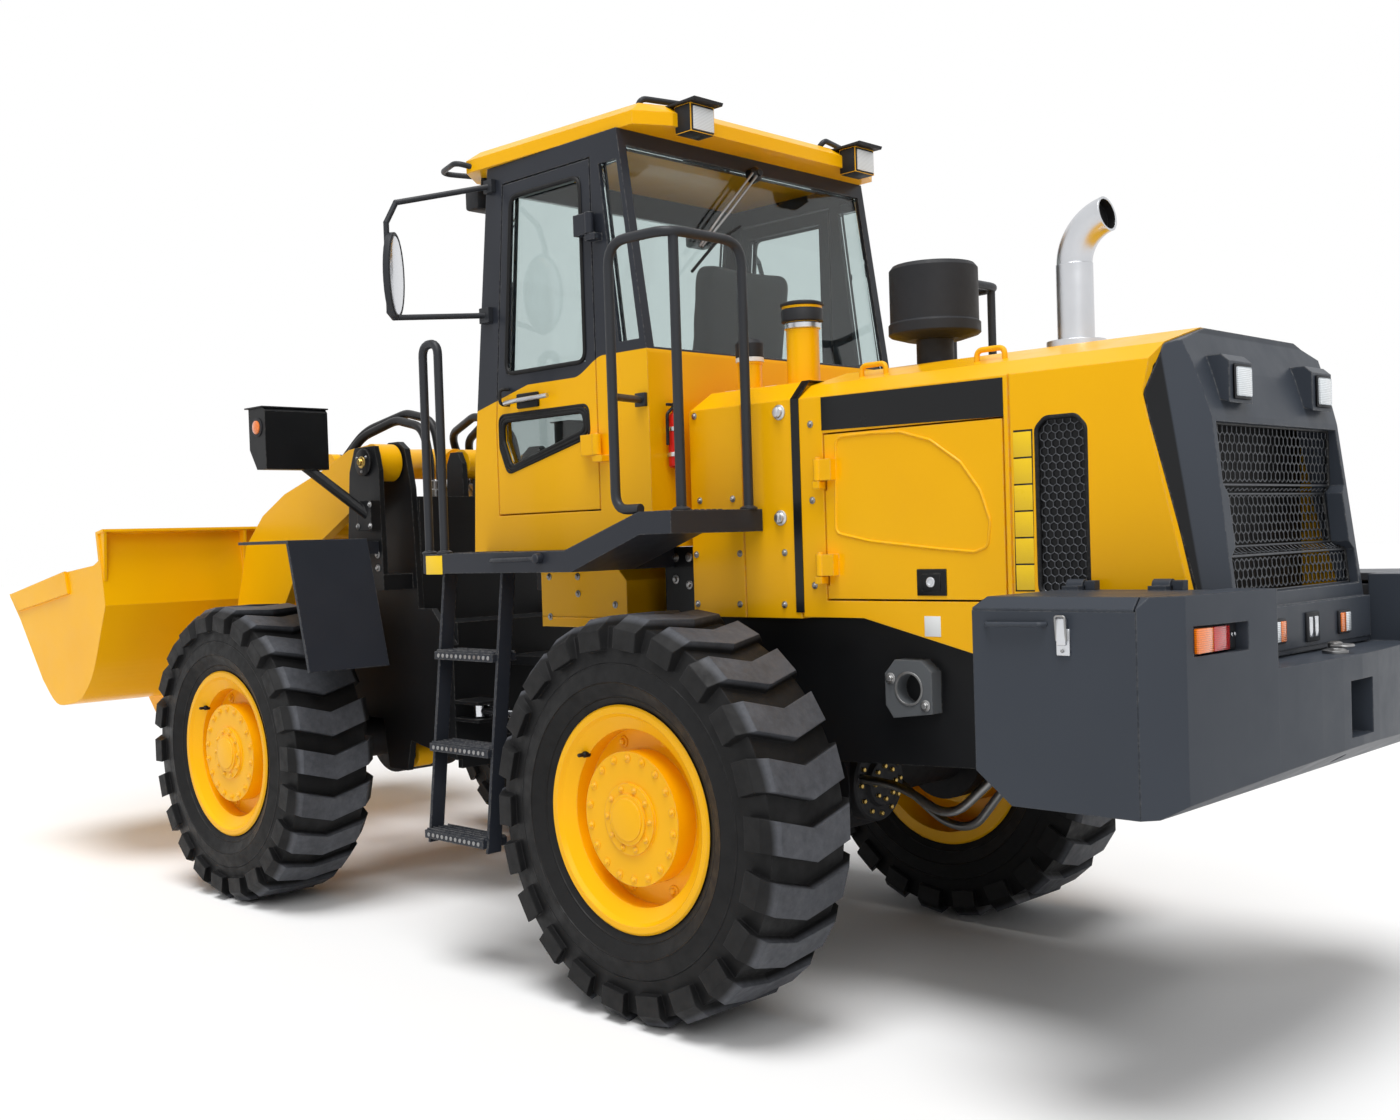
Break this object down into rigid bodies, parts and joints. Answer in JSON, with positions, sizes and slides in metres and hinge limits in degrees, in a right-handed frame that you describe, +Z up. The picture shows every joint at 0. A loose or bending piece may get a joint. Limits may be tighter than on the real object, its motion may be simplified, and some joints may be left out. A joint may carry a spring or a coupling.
{
  "type": "wheel loader",
  "caption": "Articulated wheel loader with a cab, a rear engine hood, a counterweight, and a front boom with a linkage that carries a wide bucket.",
  "frame": {"origin": "centre of the footprint's box, on the ground", "axes": "+X forward towards the bucket, +Y to the left, +Z up"},
  "size_m": [6.8934, 2.348, 3.148],
  "materials": {
    "yellow_paint": "gloss",
    "slate_paint": "satin",
    "black_paint": "satin",
    "charcoal_paint": "satin",
    "bare_steel": "worn",
    "cast": "matte",
    "chromed": "polished",
    "tyre_rubber": "matte",
    "window": "clear",
    "seat_cover": "matte",
    "dark_plastic": "matte",
    "lamp_lens": "gloss"
  },
  "bodies": {
    "rear": {"rear_frame": "black_paint", "rear_axle": "cast", "engine": "cast", "drive_shafts": "bare_steel", "radiator": "cast", "counterweight": "slate_paint", "battery_box_left": "slate_paint", "battery_box_right": "slate_paint", "hood": "yellow_paint", "tail_surround": "slate_paint", "rear_grille": "black_paint", "rear_lamps": "lamp_lens", "tank": "yellow_paint", "side_boxes": "yellow_paint", "exhaust": "chromed", "precleaner": "dark_plastic", "cab_shell": "charcoal_paint", "cab_roof": "yellow_paint", "cab_glass": "window", "seat": "seat_cover", "console": "dark_plastic", "platforms": "black_paint", "ladders": "black_paint", "handrails": "black_paint", "mirrors": "black_paint"},
    "front": {"front_frame": "black_paint", "front_axle": "cast", "front_fenders": "black_paint", "headlamps": "black_paint"},
    "boom": {"boom": "yellow_paint"},
    "bucket": {"bucket": "yellow_paint", "bucket_edge": "yellow_paint"},
    "rocker": {"rocker": "yellow_paint"},
    "link": {"link": "yellow_paint"},
    "tilt_barrel": {"tilt_barrel": "yellow_paint"},
    "tilt_rod": {"tilt_rod": "chromed"},
    "lift_barrels": {"lift_barrels": "yellow_paint"},
    "lift_rods": {"lift_rods": "chromed"},
    "steer_barrel_left": {"steer_barrel_left": "black_paint"},
    "steer_barrel_right": {"steer_barrel_right": "black_paint"},
    "steer_rod_left": {"steer_rod_left": "chromed"},
    "steer_rod_right": {"steer_rod_right": "chromed"},
    "wheel_front_left": {"rim_front_left": "yellow_paint", "tyre_front_left": "tyre_rubber"},
    "wheel_front_right": {"rim_front_right": "yellow_paint", "tyre_front_right": "tyre_rubber"},
    "wheel_rear_left": {"rim_rear_left": "yellow_paint", "tyre_rear_left": "tyre_rubber"},
    "wheel_rear_right": {"rim_rear_right": "yellow_paint", "tyre_rear_right": "tyre_rubber"},
    "cab_door_left": {"cab_door_left": "charcoal_paint", "door_glass_left": "window"},
    "cab_door_right": {"cab_door_right": "charcoal_paint", "door_glass_right": "window"},
    "hood_door_left": {"hood_door_left": "yellow_paint"},
    "hood_door_right": {"hood_door_right": "yellow_paint"},
    "battery_lid_left": {"battery_lid_left": "slate_paint"},
    "battery_lid_right": {"battery_lid_right": "slate_paint"}
  },
  "joints": [
    {"name": "steer", "type": "hinge", "parent": "rear", "child": "front", "pos_m": [-0.12968, 0, 0.9], "axis": [0, 0, 1], "range_deg": [-36, 36]},
    {"name": "lift", "type": "hinge", "parent": "front", "child": "boom", "pos_m": [0.71332, 0, 1.98], "axis": [0, -1, 0], "range_deg": [-12, 78]},
    {"name": "bucket_tilt", "type": "hinge", "parent": "boom", "child": "bucket", "pos_m": [2.70284, 0, 0.73681], "axis": [0, 1, 0], "range_deg": [0, 95]},
    {"name": "rocker_turn", "type": "hinge", "parent": "boom", "child": "rocker", "pos_m": [1.61332, 0, 1.67], "axis": [0, -1, 0], "range_deg": [0, 54]},
    {"name": "link_turn", "type": "hinge", "parent": "rocker", "child": "link", "pos_m": [1.47332, 0, 1.2], "axis": [0, -1, 0], "range_deg": [-28, 0]},
    {"name": "tilt_barrel_turn", "type": "hinge", "parent": "front", "child": "tilt_barrel", "pos_m": [0.71332, 0, 1.98], "axis": [0, -1, 0], "range_deg": [-12, 78]},
    {"name": "tilt_rod_slide", "type": "slide", "parent": "tilt_barrel", "child": "tilt_rod", "axis": [0.9983, 0, 0.0586], "range_m": [-0.375, 0]},
    {"name": "lift_barrels_turn", "type": "hinge", "parent": "front", "child": "lift_barrels", "pos_m": [0.76332, 0, 0.62], "axis": [0, -1, 0], "range_deg": [-2, 11]},
    {"name": "lift_rods_slide", "type": "slide", "parent": "lift_barrels", "child": "lift_rods", "axis": [0.3846, 0, 0.9231], "range_m": [-0.105, 0.67]},
    {"name": "steer_barrel_left_turn", "type": "hinge", "parent": "rear", "child": "steer_barrel_left", "pos_m": [-1.06668, 0.38, 0.86], "axis": [0, 0, 1], "range_deg": [-9, 9]},
    {"name": "steer_rod_left_slide", "type": "slide", "parent": "steer_barrel_left", "child": "steer_rod_left", "axis": [0.9999, -0.0157, 0], "range_m": [-0.225, 0.225]},
    {"name": "wheel_front_left_spin", "type": "hinge", "parent": "front", "child": "wheel_front_left", "pos_m": [1.22732, 0.88, 0.674], "axis": [0, 1, 0], "continuous": true},
    {"name": "wheel_rear_left_spin", "type": "hinge", "parent": "rear", "child": "wheel_rear_left", "pos_m": [-1.48668, 0.88, 0.674], "axis": [0, 1, 0], "continuous": true},
    {"name": "cab_door_left_swing", "type": "hinge", "parent": "rear", "child": "cab_door_left", "pos_m": [-1.03068, 0.724, 2.3], "axis": [0, 0, 1], "range_deg": [0, 90]},
    {"name": "hood_door_left_swing", "type": "hinge", "parent": "rear", "child": "hood_door_left", "pos_m": [-1.95068, 0.582, 1.65], "axis": [0, 0, -1], "range_deg": [0, 100]},
    {"name": "battery_lid_left_lift", "type": "hinge", "parent": "rear", "child": "battery_lid_left", "pos_m": [-3.05168, 0.594, 1.421], "axis": [1, 0, 0], "range_deg": [0, 80]},
    {"name": "steer_barrel_right_turn", "type": "hinge", "parent": "rear", "child": "steer_barrel_right", "pos_m": [-1.06668, -0.38, 0.86], "axis": [0, 0, 1], "range_deg": [-9, 9]},
    {"name": "steer_rod_right_slide", "type": "slide", "parent": "steer_barrel_right", "child": "steer_rod_right", "axis": [0.9999, 0.0157, 0], "range_m": [-0.225, 0.225]},
    {"name": "wheel_front_right_spin", "type": "hinge", "parent": "front", "child": "wheel_front_right", "pos_m": [1.22732, -0.88, 0.674], "axis": [0, 1, 0], "continuous": true},
    {"name": "wheel_rear_right_spin", "type": "hinge", "parent": "rear", "child": "wheel_rear_right", "pos_m": [-1.48668, -0.88, 0.674], "axis": [0, 1, 0], "continuous": true},
    {"name": "cab_door_right_swing", "type": "hinge", "parent": "rear", "child": "cab_door_right", "pos_m": [-1.03068, -0.724, 2.3], "axis": [0, 0, -1], "range_deg": [0, 90]},
    {"name": "hood_door_right_swing", "type": "hinge", "parent": "rear", "child": "hood_door_right", "pos_m": [-1.95068, -0.582, 1.65], "axis": [0, 0, 1], "range_deg": [0, 100]},
    {"name": "battery_lid_right_lift", "type": "hinge", "parent": "rear", "child": "battery_lid_right", "pos_m": [-3.05168, -0.594, 1.421], "axis": [-1, 0, 0], "range_deg": [0, 80]}
  ],
  "couplings": [
    {"joint": "rocker_turn", "follows": "bucket_tilt", "ratio": 0.56},
    {"joint": "link_turn", "follows": "bucket_tilt", "ratio": -0.29},
    {"joint": "tilt_rod_slide", "follows": "bucket_tilt", "m_per_rad": -0.224},
    {"joint": "tilt_barrel_turn", "follows": "lift", "ratio": 1},
    {"joint": "lift_barrels_turn", "follows": "lift", "ratio": 0.13},
    {"joint": "lift_rods_slide", "follows": "lift", "m_per_rad": 0.4887},
    {"joint": "steer_barrel_left_turn", "follows": "steer", "ratio": 0.2428},
    {"joint": "steer_rod_left_slide", "follows": "steer", "m_per_rad": -0.3547},
    {"joint": "steer_barrel_right_turn", "follows": "steer", "ratio": 0.2428},
    {"joint": "steer_rod_right_slide", "follows": "steer", "m_per_rad": 0.3547}
  ]
}
